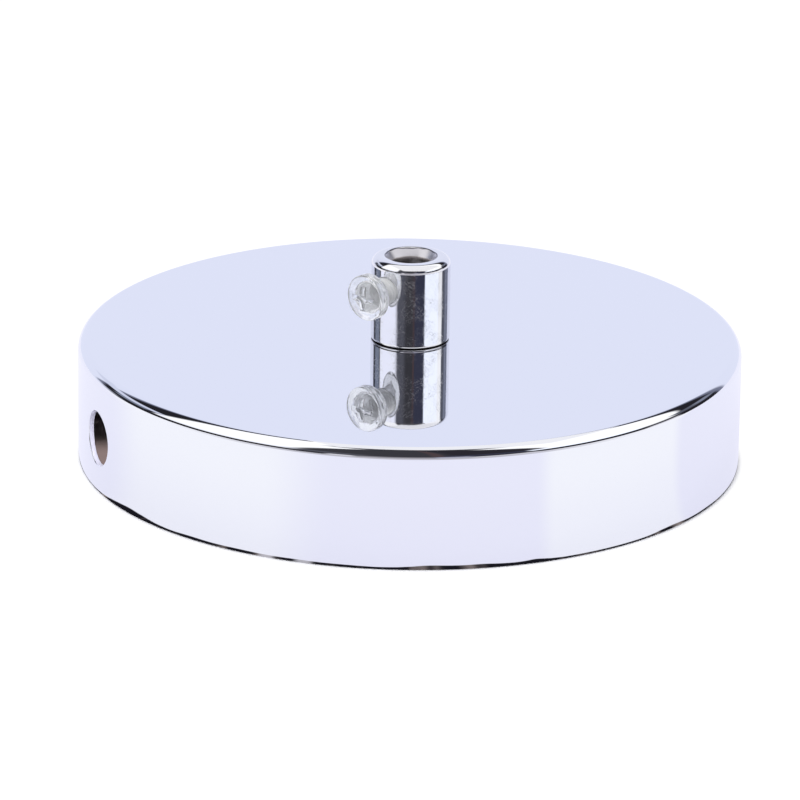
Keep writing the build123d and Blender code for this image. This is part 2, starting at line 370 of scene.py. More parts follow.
tint = linear("#EFEFFE", 1.075)
tints = ((sides, "#F9FAFE", 1.105), (near_rim, "#E9E9FE", 1.03), (past_table, "#B3B1BA", 1.0))
for share, colour, strength in tints:
    layer = {0: share, 6: tint, 7: linear(colour, strength)}
    tint = node(tree, "Mix", layer, data_type="RGBA")
mirror_glow = node(tree, "Emission", {"Color": tint, "Strength": 1.0})

# %% [markdown]
# Round the foot the chrome shows a thin dark line, the shadow in the gap between the rim and the
# table. It is a painted shadow: a dark ring painted on the table, seen by mirrors only. It isn't
# even: it swells and thins as the sheet's edge does, is wide in front and at the left, thin at the
# right and hardly there at the far sides. So its width is a noise along the rim, made more or
# less in each of these stretches.

# %% Width of the painted shadow line
swell_degrees = 17.0
widest_line = 4.8 * mm
swell = node(tree, "Math", {0: bearing, 1: swell_degrees}, operation="DIVIDE")
swell = node(tree, "TexNoise", {"W": swell, "Scale": 1.0, "Detail": 1.0}, noise_dimensions="1D")
swell = node(tree, "Math", {0: swell, 1: 0.12}, operation="SUBTRACT")
line_width = node(tree, "Math", {0: swell, 1: widest_line}, operation="MULTIPLY")
front_part = window(tree, bearing, -13, 24, 8)
front_part = node(tree, "Math", {0: front_part, 1: 0.28, 2: 0.72}, operation="MULTIPLY_ADD")
line_width = node(tree, "Math", {0: line_width, 1: front_part}, operation="MULTIPLY")
left_part = window(tree, bearing, -66, -51, 6)
line_width = {0: left_part, 1: 0.5 * mm, 2: line_width}
line_width = node(tree, "Math", line_width, operation="MULTIPLY_ADD")
turned_away = node(tree, "Math", {0: bearing}, operation="ABSOLUTE")
turned_away = window(tree, turned_away, 62, 118, 20)
for part, loss in ((window(tree, bearing, 25, 47, 6), 0.7), (turned_away, 0.85)):
    kept = node(tree, "Math", {0: part, 1: -loss, 2: 1.0}, operation="MULTIPLY_ADD")
    line_width = node(tree, "Math", {0: line_width, 1: kept}, operation="MULTIPLY")

past_line = node(tree, "Math", {0: from_rim, 1: line_width}, operation="SUBTRACT")
line_soft = 0.15 * mm
for_mirror = node(tree, "Math", {0: to_mirror, 1: 0.82}, operation="MULTIPLY")
for_mirror = slopes(tree, past_line, (-line_soft, line_soft), top=for_mirror)
surface = node(tree, "MixShader", {0: for_mirror, 1: surface, 2: mirror_glow})

# %% [markdown]
# The painted shadow line is almost black with browner streaks, and a painted glint breaks it
# twice, left of its middle.

# %% Colour of the painted shadow line
streak_degrees = 7.0
streaks = node(tree, "Math", {0: bearing, 1: streak_degrees}, operation="DIVIDE")
streaks = node(tree, "TexNoise", {"W": streaks, "Scale": 1.0, "Detail": 2.0}, noise_dimensions="1D")
streaks = slopes(tree, streaks, (0.5, 0.75))
shadow_line_tint = {0: streaks, 6: linear("#1B1A21"), 7: linear("#8E8380")}
shadow_line_tint = node(tree, "Mix", shadow_line_tint, data_type="RGBA")
painted_glints = {
    0: window(tree, bearing, -25.6, -23.0, 1.6, top=0.75),
    1: window(tree, bearing, -19.0, -16.2, 1.6, top=0.75)}
painted_glints = node(tree, "Math", painted_glints, operation="ADD")
shadow_line_tint = {0: painted_glints, 6: shadow_line_tint, 7: linear("#D9D7DD")}
shadow_line_tint = node(tree, "Mix", shadow_line_tint, data_type="RGBA")
# Painted shadow: to mirror rays the table glows in these dark colours, with two painted glints.
painted_shadow_line = node(tree, "Emission", {"Color": shadow_line_tint, "Strength": 1.0})
for_line = slopes(tree, from_rim, (-2.0 * mm, -1.0 * mm), top=to_mirror)
for_line = slopes(tree, past_line, (line_soft, -line_soft), top=for_line)
surface = node(tree, "MixShader", {0: for_line, 1: surface, 2: painted_shadow_line})

# %% [markdown]
# Through the side hole the camera looks down on the table inside the cover. The photograph shows
# a warm brown there at the bottom of the hole and darkness above, so a small patch of the table
# just behind the hole glows brown.

# %% Patch behind the side hole
patch_middle = (-55 * mm, -7 * mm, 0)
from_patch = node(tree, "VectorMath", {0: place, 1: patch_middle}, operation="DISTANCE")
patch = node(tree, "Math", {0: to_eye, 1: to_mirror}, operation="MAXIMUM")
patch = slopes(tree, from_rim, (-1.2 * mm, -3.0 * mm), top=patch)
patch = slopes(tree, from_patch, (14 * mm, 4 * mm), top=patch)
# Painted light: the table just behind the side hole glows brown where light coming in through the
# hole would fall.
painted_light_patch = node(tree, "Emission", {"Color": linear("#8C7A78"), "Strength": 1.0})
surface = node(tree, "MixShader", {0: patch, 1: surface, 2: painted_light_patch})
node(tree, "OutputMaterial", {"Surface": surface})
floor.data.materials.append(paint)
print("table paint nodes:", len(tree.nodes))

# %% [markdown]
# One more light hangs close over the cover, a soft box behind white cloth. It is what puts the
# white crescent under the top edge of the cord grip, and the thin white line along the near edge
# of the cover. A card that shines does for it, seen by mirrors only, so it never stands in the
# picture and throws no shadow. Its cloth gives the eye an even, edgeless white.

# %% Overhead card
card_height = 78 * mm
card_corners = [(-24, -57), (55, -57), (55, 14), (-24, 14)]
card_points = np.array([turned(x * mm, y * mm, card_height) for x, y in card_corners])
card = grid_object("overhead_card", card_points, [[[0, 1, 2, 3]]], smooth=False)
card.visible_camera = card.visible_diffuse = False
card.visible_shadow = card.visible_transmission = False
cloth, tree = new_material("soft_light_cloth")
glow = node(tree, "Emission", {"Color": linear("#FDFDFF", 1.04), "Strength": 1.0})
node(tree, "OutputMaterial", {"Surface": glow})
card.data.materials.append(cloth)

# %% [markdown]
# The panels in the world are small for matt things, so a soft lamp from the left adds plain light
# for the clear plastic and the table. Mirrors don't show it, because they already show the panels.

# %% Soft lamp
lamp = bpy.data.objects.new("soft_lamp", bpy.data.lights.new("soft_lamp", "SUN"))
lamp.data.energy = 3.0
lamp.data.angle = math.radians(60)
lamp.visible_glossy = lamp.visible_transmission = False
lamp_from = turned(-0.25, -0.72, 0.65)
lamp.rotation_euler = Vector(lamp_from.tolist()).to_track_quat("Z", "Y").to_euler()
bpy.context.collection.objects.link(lamp)
print("lamp shines from", np.round(lamp_from, 2))

# %% [markdown]
# Round pieces are lathe work: a profile of radius and height, swept round the Z axis. A mirror
# shows every flat facet, so these surfaces are computed fine and smooth in place of the CAD's
# triangles, with the same sizes. Profiles are made of points and of arcs.

# %% Lathe surfaces
def arc(centre, radius, start, stop, count):
    """Points of an arc: centre + radius (cos a, sin a), with a from start to stop in degrees."""
    a = np.radians(np.linspace(start, stop, count))
    return np.stack([centre[0] + radius * np.cos(a), centre[1] + radius * np.sin(a)], axis=1)


def profile(*pieces):
    """Joins points and arcs, given in mm, into one array of radius and height in metres."""
    return np.concatenate([np.atleast_2d(np.asarray(p, dtype=float)) for p in pieces]) * mm


def sweep(outline, angles):
    """Each outline point (r, z) at each angle a becomes (r cos a, r sin a, z)."""
    r, z = outline[:, 0, None], outline[:, 1, None]
    return np.stack([r * np.cos(angles), r * np.sin(angles), z + 0 * angles], axis=2)


def quads(rows, columns, keep=None):
    """Faces between neighbouring rows and columns of a grid that closes on itself both ways."""
    i, j = np.meshgrid(np.arange(rows), np.arange(columns), indexing="ij")
    if keep is not None:
        i, j = i[keep], j[keep]
    i, j = i.ravel(), j.ravel()
    i2, j2 = (i + 1) % rows, (j + 1) % columns
    corners = [i * columns + j, i * columns + j2, i2 * columns + j2, i2 * columns + j]
    return np.stack(corners, axis=1)


def band(first, second):
    """Faces between two closed loops of as many points."""
    return np.stack([first, np.roll(first, -1), np.roll(second, -1), second], axis=1)


# %% [markdown]
# A round hole in a curved wall is the awkward part of such a surface. A boolean cut would leave
# slivers that show in a mirror. Here a window is left out of the lathe's grid, and rings of faces
# lead from its square edge to the round hole, with every point on the wall's own curve. Small
# round edges and a tube through the sheet close it.

# %% Drilled walls
def hole_rings(u, w, lip, edge):
    """Rings from a window's edge, at (u, w) in the plane across the hole, in to the hole, each
    with its depth in the sheet. First (1 - s) square + s circle, with s from 0 to 1, and then
    a quarter round of the hole's edge."""
    turn = np.arctan2(w, u)
    shares = np.linspace(0, 1, 9)[1:] ** 0.8
    rings = [((1 - s) * u + s * lip * np.cos(turn), (1 - s) * w + s * lip * np.sin(turn), 0.0)
             for s in shares]
    for q in np.radians(np.linspace(0, 90, 9)[1:]):
        r = lip - edge * math.sin(q)
        rings.append((r * np.cos(turn), r * np.sin(turn), edge * (1 - math.cos(q))))
    return rings, np.argsort(np.mod(turn, 2 * np.pi))


def drilled_ring(name, outline, angles, windows, hole_angle, hole_height, hole_radius):
    """A closed lathe surface with one round hole through its wall. Each window is (first row,
    last row, first column, last column, wall radius, side, edge rounding), and side is 1 on the
    outer wall and -1 on the inner. A point u across the hole's axis lies sqrt(R^2 - u^2) -
    side * depth out along that axis, with R the wall's radius."""
    rows, columns = len(outline), len(angles)
    points = [sweep(outline, angles).reshape(-1, 3)]
    total = rows * columns
    keep = np.ones((rows, columns), dtype=bool)
    along = np.array([math.cos(hole_angle), math.sin(hole_angle), 0])
    across = np.array([-math.sin(hole_angle), math.cos(hole_angle), 0])
    upward = np.array([0, 0, 1.0])
    blocks, tube_ends = [], []
    for low, high, left, right, radius, side, edge in windows:
        keep[low:high, left:right] = False
        loop = np.concatenate([
            low * columns + np.arange(left, right),
            np.arange(low, high) * columns + right,
            high * columns + np.arange(right, left, -1),
            np.arange(high, low, -1) * columns + left,
        ])
        corners = points[0][loop]
        rings, order = hole_rings(
            corners @ across, corners[:, 2] - hole_height, hole_radius + edge, edge)
        for u, w, depth in rings:
            out = np.sqrt(radius ** 2 - u ** 2) - side * depth
            ring = out[:, None] * along + u[:, None] * across + (hole_height + w)[:, None] * upward
            following = total + np.arange(len(loop))
            blocks.append(band(loop, following))
            points.append(ring)
            loop, total = following, total + len(loop)
        tube_ends.append(loop[order])
    blocks.append(band(*tube_ends))
    blocks.append(quads(rows, columns, keep))
    return grid_object(name, np.concatenate(points), blocks)


# %% [markdown]
# The canopy is a cup pressed from one round sheet. Its outline runs up the centre hole, out along
# the top, over the drawn corner, down the wall, round the rim, and back inside.

# %% Canopy outline
canopy_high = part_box("canopy")[1]
canopy_radius = canopy_high[0] / mm
canopy_height = canopy_high[2] / mm
canopy_sheet = 1.0
corner = 1.9
rim_round = 0.65
inner_rim_round = 0.12
centre_hole = 5.25
centre_hole_edge = 0.15
hole_height = 10.2
hole_radius = 5.0
hole_outer_edge, hole_inner_edge = 0.15, 0.1
window_half = 8.4
window_rows = 16
top_rings = (6, 8, 14, 26, 40, 52, 57, canopy_radius - corner - 0.1)
ceiling_rings = (57, 40, 20, 10, 6)

ceiling = canopy_height - canopy_sheet
inner_radius = canopy_radius - canopy_sheet
corner_centre = (canopy_radius - corner, canopy_height - corner)
edge_middle = centre_hole + centre_hole_edge
wall_rows = np.linspace(hole_height + window_half, hole_height - window_half, window_rows + 1)
outer_wall = profile([(canopy_radius, z) for z in wall_rows])
inner_wall = profile([(inner_radius, z) for z in wall_rows[::-1]])
upper = profile(
    (centre_hole, ceiling + centre_hole_edge),
    (centre_hole, canopy_height - centre_hole_edge),
    arc((edge_middle, canopy_height - centre_hole_edge), centre_hole_edge, 180, 90, 4)[1:],
    [(r, canopy_height) for r in top_rings],
    arc(corner_centre, corner, 90, 0, 25),
    (canopy_radius, canopy_height - corner - 0.3),
)
lower = profile(
    (canopy_radius, rim_round + 0.15),
    arc((canopy_radius - rim_round, rim_round), rim_round, 0, -90, 13),
    (inner_radius + inner_rim_round, 0),
    arc((inner_radius + inner_rim_round, inner_rim_round), inner_rim_round, -90, -180, 4)[1:],
)
inside = profile(
    arc(corner_centre, corner - canopy_sheet, 0, 90, 11),
    [(r, ceiling) for r in ceiling_rings],
    arc((edge_middle, ceiling + centre_hole_edge), centre_hole_edge, -90, -180, 4)[:-1],
)
canopy_outline = np.concatenate([upper, outer_wall, lower, inner_wall, inside])
print("points of the canopy's outline:", len(canopy_outline))

# %% [markdown]
# The outline is swept round in steps of one degree. The side hole's windows, one on the outer
# wall and one on the inner, reach eight steps to each side of the hole.

# %% Canopy
canopy_columns = 360
half_columns = 8
canopy_angles = np.radians(np.arange(canopy_columns) * 360 / canopy_columns)
outer_row = len(upper)
inner_row = outer_row + len(outer_wall) + len(lower)
middle = canopy_columns // 2
columns = (middle - half_columns, middle + half_columns)
canopy_windows = [
    (outer_row, outer_row + window_rows, *columns, canopy_radius * mm, 1, hole_outer_edge * mm),
    (inner_row, inner_row + window_rows, *columns, inner_radius * mm, -1, hole_inner_edge * mm),
]
canopy_shell = drilled_ring(
    "canopy_shell", canopy_outline, canopy_angles, canopy_windows,
    math.pi, hole_height * mm, hole_radius * mm,
)
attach(canopy_shell, "canopy_body")
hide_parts("canopy")

# %% [markdown]
# Bright chrome on drawn steel. Chrome is put on by electroplating and copies the sheet under it,
# so the eye sees a nearly perfect mirror. A slow waviness of 22 mm is what the press left, and
# patches of 9 mm are a little less sharp, where it was wiped. Close round the cord grip the
# plating carries painted shade: a dark, duller ring that stands in for the shadow in the joint.

# %% Chrome on the outside
def finish_with(tree, sockets):
    """Ends a material: one shader with these sockets, and the output."""
    shader = node(tree, "BsdfPrincipled", sockets)
    node(tree, "OutputMaterial", {"Surface": shader})


def distance_from_axis(tree, place):
    """The length of (x, y, 0)."""
    flat = node(tree, "VectorMath", {0: place, 1: (1, 1, 0)}, operation="MULTIPLY")
    return node(tree, "VectorMath", {0: flat}, operation="LENGTH")


sheet_chrome, tree = new_material("bright_chrome_on_drawn_steel")
place = node(tree, "TexCoord").outputs["Object"]
waves = node(tree, "TexNoise", {"Vector": place, "Scale": 1 / (22 * mm), "Detail": 1.0})
bump = node(tree, "Bump", {"Height": waves, "Strength": 1.0, "Distance": 0.01 * mm})
# Painted shade: the ring close round the grip is coloured dark for the shadow in the joint.
joint_shade = slopes(tree, distance_from_axis(tree, place), (7.0 * mm, 6.82 * mm))
colour = {0: joint_shade, 6: linear("#EBECF1"), 7: linear("#2A211D")}
colour = node(tree, "Mix", colour, data_type="RGBA")
smears = node(tree, "TexNoise", {"Vector": place, "Scale": 1 / (9 * mm), "Detail": 3.0})
roughness = slopes(tree, smears, (0.4, 0.8), top=0.03)
roughness = node(tree, "Math", {0: roughness, 1: 0.015}, operation="ADD")
roughness = node(tree, "Math", {0: joint_shade, 1: 0.4, 2: roughness}, operation="MULTIPLY_ADD")
finish_with(tree, {"Base Color": colour, "Metallic": 1.0, "Roughness": roughness, "Normal": bump})
canopy_shell.data.materials.append(sheet_chrome)

# %% [markdown]
# Thin dull chrome. Inside a cup the plating bath hardly reaches, so the layer is thin and grey
# with browner clouds of about 7 mm, over the 0.5 mm grain of the sheet, and no
# reflection is sharp in it.

# %% Chrome on the inside
dull_chrome, tree = new_material("thin_dull_chrome_inside")
place = node(tree, "TexCoord").outputs["Object"]
clouds = node(tree, "TexNoise", {"Vector": place, "Scale": 1 / (7 * mm), "Detail": 4.0})
grain = node(tree, "TexNoise", {"Vector": place, "Scale": 1 / (0.5 * mm), "Detail": 2.0})
colour = {0: slopes(tree, clouds, (0.3, 0.7)), 6: linear("#D6D4D5"), 7: linear("#B9B2AE")}
colour = node(tree, "Mix", colour, data_type="RGBA")
roughness = node(tree, "Math", {0: clouds, 1: 0.25, 2: 0.32}, operation="MULTIPLY_ADD")
bump = node(tree, "Bump", {"Height": grain, "Strength": 1.0, "Distance": 0.006 * mm})
finish_with(tree, {"Base Color": colour, "Metallic": 1.0, "Roughness": roughness, "Normal": bump})
canopy_shell.data.materials.append(dull_chrome)

# %% [markdown]
# Matt plating on a punched edge. The punch tears the sheet, and plating on torn metal scatters
# light like pale paint: the eye sees a soft white rim inside the hole, and no mirror. So this
# shader isn't a metal. The tears are about 0.6 mm long.

# %% Chrome on the cut edge
cut_edge, tree = new_material("matt_plating_on_punched_edge")
place = node(tree, "TexCoord").outputs["Object"]
tearing = node(tree, "TexNoise", {"Vector": place, "Scale": 1 / (0.6 * mm), "Detail": 2.0})
colour = {0: tearing, 6: linear("#EFEEFF"), 7: linear("#E0DEF4")}
colour = node(tree, "Mix", colour, data_type="RGBA")
bump = node(tree, "Bump", {"Height": tearing, "Strength": 1.0, "Distance": 0.02 * mm})
finish_with(tree, {"Base Color": colour, "Metallic": 0.0, "Roughness": 0.5, "Normal": bump})
canopy_shell.data.materials.append(cut_edge)

# %% [markdown]
# Which face gets which finish follows from where its middle lies: outside are the top, the drawn
# corner, the wall, the rim and the rounded edge of the side hole, in the tube is what lies in the
# hole between the two walls, and the rest is inside.

# %% Faces of the canopy
tolerance = 0.06
middles = np.zeros(len(canopy_shell.data.polygons) * 3)
canopy_shell.data.polygons.foreach_get("center", middles)
x, y, z = middles.reshape(-1, 3).T / mm
r = np.hypot(x, y)
from_corner = np.hypot(r - corner_centre[0], z - corner_centre[1])
outside = (r > canopy_radius - tolerance) | (z > canopy_height - tolerance)
outside |= (r > corner_centre[0]) & (z > corner_centre[1]) & (from_corner > corner - 0.2)
outside |= (z < rim_round + 0.1) & (r > canopy_radius - 0.5)
beside_hole = (np.hypot(y, z - hole_height) < hole_radius + hole_outer_edge + 0.02) & (x < 0)
outside |= beside_hole & (r > canopy_radius - hole_outer_edge)
in_tube = beside_hole & ~outside & (r > inner_radius + 0.05)
finishes = np.where(outside, 0, np.where(in_tube, 2, 1))
canopy_shell.data.polygons.foreach_set("material_index", finishes)
print("faces outside, inside and in the tube:", np.bincount(finishes).tolist())

# %% [markdown]
# The cord grip is turned from bar. It stands on the canopy and its bore holds the cord. Its
# outline runs from the mouth over the round shoulder, down the wall, round its foot and up the
# tapped hole into the bore.

# %% Cord grip outline
grip_low, grip_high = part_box("cord_grip")
grip_radius = 7.15
grip_base = grip_low[2] / mm
grip_top = grip_high[2] / mm
shoulder = 1.5
base_round = 0.6
mouth_radius, mouth_depth, bore_radius = 4.65, 1.4, 3.7
tapped_radius, thread_roof, thread_chamfer = 5.03, grip_base + 7.2, 0.5
screw_angle = math.radians(207.5)
screw_height = canopy_height + 10.55
screw_hole = 2.51
screw_hole_edge = 0.1
outer_half, outer_rows, outer_columns = 3.5, 32, 12
bore_half, bore_rows, bore_columns = 3.0, 12, 22

outer_heights = np.linspace(screw_height + outer_half, screw_height - outer_half, outer_rows + 1)
bore_heights = np.linspace(screw_height - bore_half, screw_height + bore_half, bore_rows + 1)
grip_upper = profile(
    (mouth_radius - 0.04, grip_top - 0.1),
    (mouth_radius + 0.06, grip_top),
    (grip_radius - shoulder - 0.08, grip_top),
    arc((grip_radius - shoulder, grip_top - shoulder), shoulder, 90, 0, 21),
)
grip_lower = profile(
    (grip_radius, grip_base + base_round + 3),
    (grip_radius, grip_base + base_round + 0.15),
    arc((grip_radius - base_round, grip_base + base_round), base_round, 0, -90, 9),
    (tapped_radius + thread_chamfer, grip_base),
    (tapped_radius, grip_base + thread_chamfer),
    (tapped_radius, thread_roof),
    (bore_radius, thread_roof),
)
grip_mouth = profile(
    (bore_radius, grip_top - mouth_depth - 0.1),
    (bore_radius + 0.05, grip_top - mouth_depth),
)
outer_wall = profile([(grip_radius, z) for z in outer_heights])
bore_wall = profile([(bore_radius, z) for z in bore_heights])
grip_outline = np.concatenate([grip_upper, outer_wall, grip_lower, bore_wall, grip_mouth])
print("points of the cord grip's outline:", len(grip_outline))

# %% [markdown]
# Its angles are counted from the screw, so that the screw's hole lies in the middle of its
# windows, in the wall and in the bore.

# %% Cord grip
grip_columns = 144
middle = grip_columns // 2
grip_angles = screw_angle + np.radians((np.arange(grip_columns) - middle) * 360 / grip_columns)
outer_row = len(grip_upper)
bore_row = outer_row + len(outer_wall) + len(grip_lower)
grip_windows = [
    (outer_row, outer_row + outer_rows, middle - outer_columns, middle + outer_columns,
     grip_radius * mm, 1, screw_hole_edge * mm),
    (bore_row, bore_row + bore_rows, middle - bore_columns, middle + bore_columns,
     bore_radius * mm, -1, screw_hole_edge * mm),
]
grip_body = drilled_ring(
    "grip_body", grip_outline, grip_angles, grip_windows,
    screw_angle, screw_height * mm, screw_hole * mm,
)
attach(grip_body, "canopy_body")
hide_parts("cord_grip")

# %% [markdown]
# Bright chrome on turned steel. The bar was turned and buffed, so under the plating lie crossed
# buffing scratches. They scatter light from beside the reflection, which shows as a fine pale
# haze in the dark bands. A real scratch is a few hundredths of a millimetre wide and wouldn't
# show, so these are drawn coarser, 0.1 mm wide and 1 mm long. They are a noise on the wall
# unrolled flat, stretched at two slants, and patches of 2.6 mm leave some of it clean.

# %% Scratches on the grip
turned_chrome, tree = new_material("bright_chrome_on_turned_steel")
place = node(tree, "TexCoord").outputs["Object"]
x, y, z = node(tree, "SeparateXYZ", {0: place}).outputs
from_axis = distance_from_axis(tree, place)
around = node(tree, "Math", {0: y, 1: x}, operation="ARCTAN2")
around = node(tree, "Math", {0: around, 1: grip_radius * mm}, operation="MULTIPLY")
unrolled = node(tree, "CombineXYZ", {"X": around, "Y": z})
scratches = 0.0
for slant in (47, -43):
    laid = node(tree, "Mapping", {
        "Vector": unrolled, "Rotation": (0, 0, math.radians(slant)),
        "Scale": (1 * mm, 0.1 * mm, 1)}, vector_type="TEXTURE")
    lines = node(tree, "TexNoise", {"Vector": laid, "Scale": 1.0, "Detail": 2.0})
    lines = slopes(tree, lines, (0.5, 0.7))
    scratches = node(tree, "Math", {0: lines, 1: scratches}, operation="MAXIMUM")
patches = node(tree, "TexNoise", {"Vector": place, "Scale": 1 / (2.6 * mm), "Detail": 2.0})
scratches = slopes(tree, patches, (0.3, 0.62), top=scratches)
wall_edge = ((grip_radius - 0.7) * mm, (grip_radius - 0.3) * mm)
scratches = slopes(tree, from_axis, wall_edge, top=scratches)

# %% [markdown]
# The mouth is left as the cutter made it, satin, with a wavering grey line where the two meet,
# and the bore is a darker grey. Round the crevice at the foot runs a dark line of painted shade,
# for the shadow where the grip stands on the canopy.

# %% Chrome on the grip
wobble = node(tree, "TexNoise", {"Vector": place, "Scale": 1 / (2.5 * mm), "Detail": 1.0})
wobble = node(tree, "Math", {0: wobble, 1: 0.5}, operation="SUBTRACT")
wavering = {0: wobble, 1: 0.5 * mm, 2: from_axis}
wavering = node(tree, "Math", wavering, operation="MULTIPLY_ADD")
line_low, line_high = (mouth_radius - 0.08) * mm, (mouth_radius + 0.1) * mm
at_top = slopes(tree, z, ((grip_top - 0.5) * mm, (grip_top - 0.4) * mm))
mouth_line = window(tree, wavering, line_low, line_high, 0.08 * mm, top=at_top)
in_mouth = slopes(tree, from_axis, ((mouth_radius + 0.03) * mm, (mouth_radius - 0.03) * mm))
in_bore = slopes(tree, from_axis, ((bore_radius + 0.12) * mm, (bore_radius + 0.04) * mm))
# Painted shade: a dark, duller band at the foot for the shadow in the crevice.
crevice_shade = slopes(tree, z, ((grip_base + 0.3) * mm, (grip_base + 0.14) * mm))

colour = linear("#E9E9EC")
tints = (
    (in_mouth, "#CFCDD2"), (mouth_line, "#6E6C74"), (in_bore, "#B9B4B3"), (crevice_shade, "#241B18"))
for share, tint in tints:
    colour = node(tree, "Mix", {0: share, 6: colour, 7: linear(tint)}, data_type="RGBA")
roughness = 0.03
for part, more in ((scratches, 0.3), (in_mouth, 0.3), (crevice_shade, 0.4)):
    roughness = node(tree, "Math", {0: part, 1: more, 2: roughness}, operation="MULTIPLY_ADD")
swell = node(tree, "TexNoise", {"Vector": place, "Scale": 1 / (5 * mm), "Detail": 0.0})
relief = node(tree, "Bump", {"Height": swell, "Strength": 1.0, "Distance": 0.02 * mm})
relief = node(tree, "Bump", {
    "Height": scratches, "Normal": relief, "Strength": 0.5, "Distance": 0.002 * mm})
finish_with(tree, {"Base Color": colour, "Metallic": 1.0, "Roughness": roughness, "Normal": relief})
grip_body.data.materials.append(turned_chrome)
print("grip chrome nodes:", len(tree.nodes))

# %% [markdown]
# Both screws are pan heads with a cross recess and a real thread. A thread is a helix: at each
# angle the ridge lies a little higher, so the cut depends on height / pitch minus angle / full
# turn. The head's columns start on the outline of the cross and spread to the round rim.

# %% Threads and crosses
def thread_cut(height, turn, pitch, depth, steep, flat):
    """How deep a thread is cut: depth * (steep * wave - flat), kept between 0 and depth, where
    the wave goes from 1 to 0 and back once in each full number of height / pitch - turn / 2 pi."""
    wave = np.abs(2 * np.mod(height / pitch - turn / (2 * np.pi), 1) - 1)
    return depth * np.clip(steep * wave - flat, 0, 1)


def cross_outline(half_length, half_width, per_side):
    """Points round a plus sign, anticlockwise from the lower end of its right arm. Each of its
    twelve sides is divided evenly."""
    a, b = half_length, half_width
    corners = np.array([(a, -b), (a, b), (b, b), (b, a), (-b, a), (-b, b),
                        (-a, b), (-a, -b), (-b, -b), (-b, -a), (b, -a), (b, -b)])
    share = np.linspace(0, 1, per_side, endpoint=False)[None, :, None]
    following = np.roll(corners, -1, axis=0)
    return (corners[:, None] * (1 - share) + following[:, None] * share).reshape(-1, 2)


# %% [markdown]
# A screw is then one stack of rings, each of as many points, from the middle of the recess over
# the head and down the thread to the tip.

# %% Screws
def screw_surface(name, seat, axis, up_axis, shank, head, recess):
    """A pan head screw of rings. shank is (radius, length, pitch, tip chamfer), head is (radius,
    side, crown, rounding) and recess is (length, width, depth, taper in degrees)."""
    radius, length, pitch, tip_chamfer = shank
    head_radius, side, crown, rounding = head
    recess_length, recess_width, recess_depth, taper = recess
    under_round = 0.15
    per_side = 8
    ball = (head_radius ** 2 + crown ** 2) / (2 * crown)
    top = cross_outline(recess_length / 2, recess_width / 2, per_side)
    shrink = recess_depth * math.tan(math.radians(taper))
    bottom = cross_outline(recess_length / 2 - shrink, recess_width / 2 - shrink, per_side)
    turn = np.arctan2(top[:, 1], top[:, 0])
    circle = np.stack([np.cos(turn), np.sin(turn)], axis=1)

    def dome(p):
        """The height of the crown over p, a ball's cap: sqrt(ball^2 - p^2) above its centre."""
        return side + crown - ball + np.sqrt(ball ** 2 - (p ** 2).sum(axis=1))

    def ring(plane, z):
        """Points of the plane at the height z, or each at its own height."""
        heights = np.broadcast_to(np.reshape(z, (-1, 1)), (len(plane), 1))
        return np.concatenate([plane, heights], axis=1)

    floor_level = side + crown - recess_depth
    rings = [ring(bottom * s, floor_level) for s in (0.0, 0.35, 0.7, 0.95, 1.0)]
    for s in (0.08, 0.35, 0.65, 0.94):
        wall = bottom * (1 - s) + top * s
        rings.append(ring(wall, floor_level * (1 - s) + (dome(top) - 0.05) * s))
    flat_radius = head_radius - rounding
    rings.append(ring(top * 1.012, dome(top)))
    for s in (0.06, 0.2, 0.4, 0.6, 0.8, 1.0):
        crown_points = top * (1 - s) + circle * flat_radius * s
        rings.append(ring(crown_points, dome(crown_points)))
    rim = dome(circle * flat_radius)[0] - rounding
    for a in np.radians(np.linspace(75, 0, 7)):
        r = flat_radius + rounding * math.cos(a)
        rings.append(ring(circle * r, rim + rounding * math.sin(a)))
    for a in np.radians(np.linspace(0, -90, 5)):
        r = head_radius - under_round + under_round * math.cos(a)
        rings.append(ring(circle * r, under_round + under_round * math.sin(a)))
    rings.append(ring(circle * (radius + 0.35), 0.0))
    for z in np.arange(0, length + 1e-9, pitch / 10):
        cut = thread_cut(z, turn, pitch, 0.54 * pitch, 1.3, 0.15)
        cut = cut * np.clip((z - 0.2) / pitch, 0, 1)
        tip = max(0.0, tip_chamfer - (length - z))
        r = np.minimum(radius - cut, radius - tip)
        rings.append(ring(circle * r[:, None], -z))
    rings.append(ring(circle * 0.0, -length))
    grid = np.array(rings)
    frame_axes = np.stack([up_axis, np.cross(up_axis, axis), axis])
    rows, columns = grid.shape[:2]
    points = (np.asarray(seat) + grid.reshape(-1, 3) @ frame_axes) * mm
    return grid_object(name, points, [quads(rows, columns)[: (rows - 1) * columns]])


up = np.array([0.0, 0.0, 1.0])
screw_exposed = 3.75
screw_axis = np.array([math.cos(screw_angle), math.sin(screw_angle), 0.0])
screw_seat = screw_axis * (grip_radius + screw_exposed) + up * screw_height
clear_screw = screw_surface(
    "clear_screw", screw_seat, screw_axis, up,
    shank=(2.45, 7.0, 0.8, 0.4), head=(4.2, 1.7, 1.1, 0.5), recess=(4.6, 1.1, 1.5, 12.0),
)
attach(clear_screw, "screw_body")
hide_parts("grip_screw")

# %% [markdown]
# Clear moulded polycarbonate. The eye sees bright glints on its edges, the light studio bent
# through its head, and a milky thread, whose moulded flanks scatter light. So a share of the
# light is let through and the rest is scattered, and the head lets more through than the thread.
# The melt flowed in with streaks of about 1.6 mm, which warp what is seen through it.

